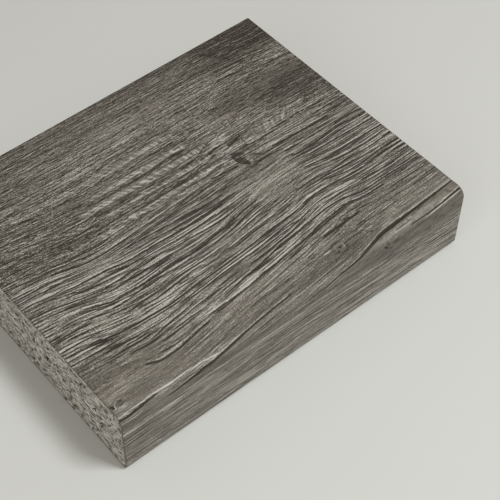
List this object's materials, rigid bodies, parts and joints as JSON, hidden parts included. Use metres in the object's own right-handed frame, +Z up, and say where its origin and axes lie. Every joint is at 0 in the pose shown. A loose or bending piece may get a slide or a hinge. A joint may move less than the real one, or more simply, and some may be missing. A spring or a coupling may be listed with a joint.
{
  "type": "postformed laminate worktop",
  "caption": "Short cut length of chipboard worktop: wood-grain laminate on top, bent round the front edge and under it, backing sheet below, saw-cut ends and back.",
  "frame": {"origin": "under the middle of the board, on its underside", "axes": "+X along the worktop and its grain, from the near end to the far end; +Y from the bent front edge to the back edge; +Z up, out of the top face"},
  "size_m": [0.195, 0.154, 0.038],
  "materials": {
    "chipboard": "matte",
    "decor_laminate": "satin",
    "backing_paper": "matte"
  },
  "bodies": {
    "root": {"chipboard_core": "chipboard", "decor_laminate": "decor_laminate", "backing_sheet": "backing_paper"}
  },
  "joints": []
}
